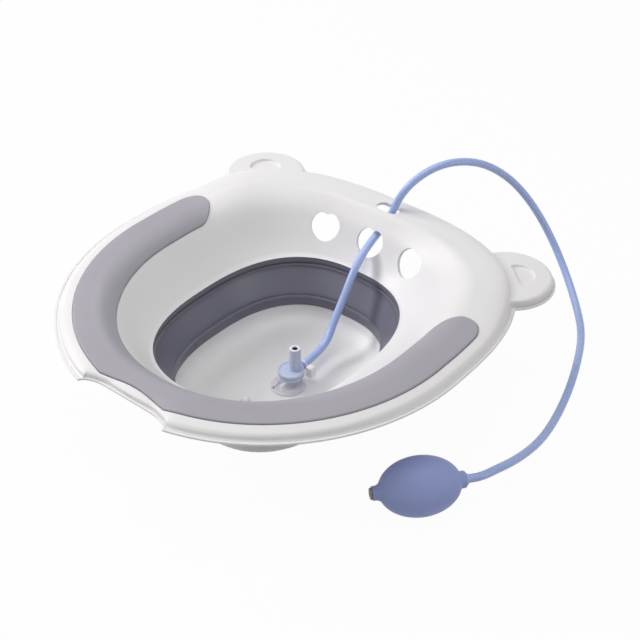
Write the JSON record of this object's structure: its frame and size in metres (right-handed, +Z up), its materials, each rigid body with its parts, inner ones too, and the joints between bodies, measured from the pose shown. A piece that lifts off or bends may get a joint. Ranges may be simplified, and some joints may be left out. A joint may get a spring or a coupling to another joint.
{
  "type": "foldable bathing basin",
  "caption": "Oval sitz basin with a padded seat rim, a soft folding wall, hand grips and a floor nozzle fed by a squeeze bulb on a hose.",
  "frame": {"origin": "on the floor under the middle of the folding wall, on the bottom face of the bowl's central boss", "axes": "+Z up, +Y towards the rear with the hearts and hand grips, -Y towards the pouring notch, +X to the side where the bulb lies"},
  "size_m": [0.4043, 0.4657, 0.1528],
  "materials": {
    "white_shell": "satin white polypropylene",
    "seat_pad": "soft lilac-grey elastomer, matt",
    "folding_wall": "soft grey elastomer, satin",
    "cup_vinyl": "translucent lilac-grey soft vinyl",
    "nozzle_plastic": "pale blue moulded plastic",
    "tie_nylon": "white nylon",
    "hose": "periwinkle blue flexible hose, satin",
    "bulb_rubber": "blue soft rubber, matt",
    "valve_plastic": "grey-olive moulded plastic",
    "valve_ball": "bright steel ball"
  },
  "bodies": {
    "bowl": {"lower_bowl": "white_shell", "suction_cup": "cup_vinyl", "nozzle_body": "nozzle_plastic", "cable_tie": "tie_nylon", "hose": "hose", "squeeze_bulb": "bulb_rubber", "inlet_valve_body": "valve_plastic", "outlet_valve_body": "nozzle_plastic"},
    "rim": {"upper_shell": "white_shell", "seat_pad": "seat_pad", "folding_wall": "folding_wall"},
    "inlet_ball": {"inlet_valve_ball": "valve_ball"},
    "outlet_ball": {"outlet_valve_ball": "valve_ball"}
  },
  "joints": [
    {"name": "basin_fold", "type": "slide", "parent": "bowl", "child": "rim", "axis": [0, 0, -1], "range_m": [0, 0.046], "deforming": ["folding_wall", "hose"]},
    {"name": "inlet_ball_slide", "type": "slide", "parent": "bowl", "child": "inlet_ball", "axis": [0.6157, 0.788, 0], "range_m": [0, 0.0011]},
    {"name": "outlet_ball_slide", "type": "slide", "parent": "bowl", "child": "outlet_ball", "axis": [0.6157, 0.788, 0], "range_m": [0, 0.0011]}
  ]
}
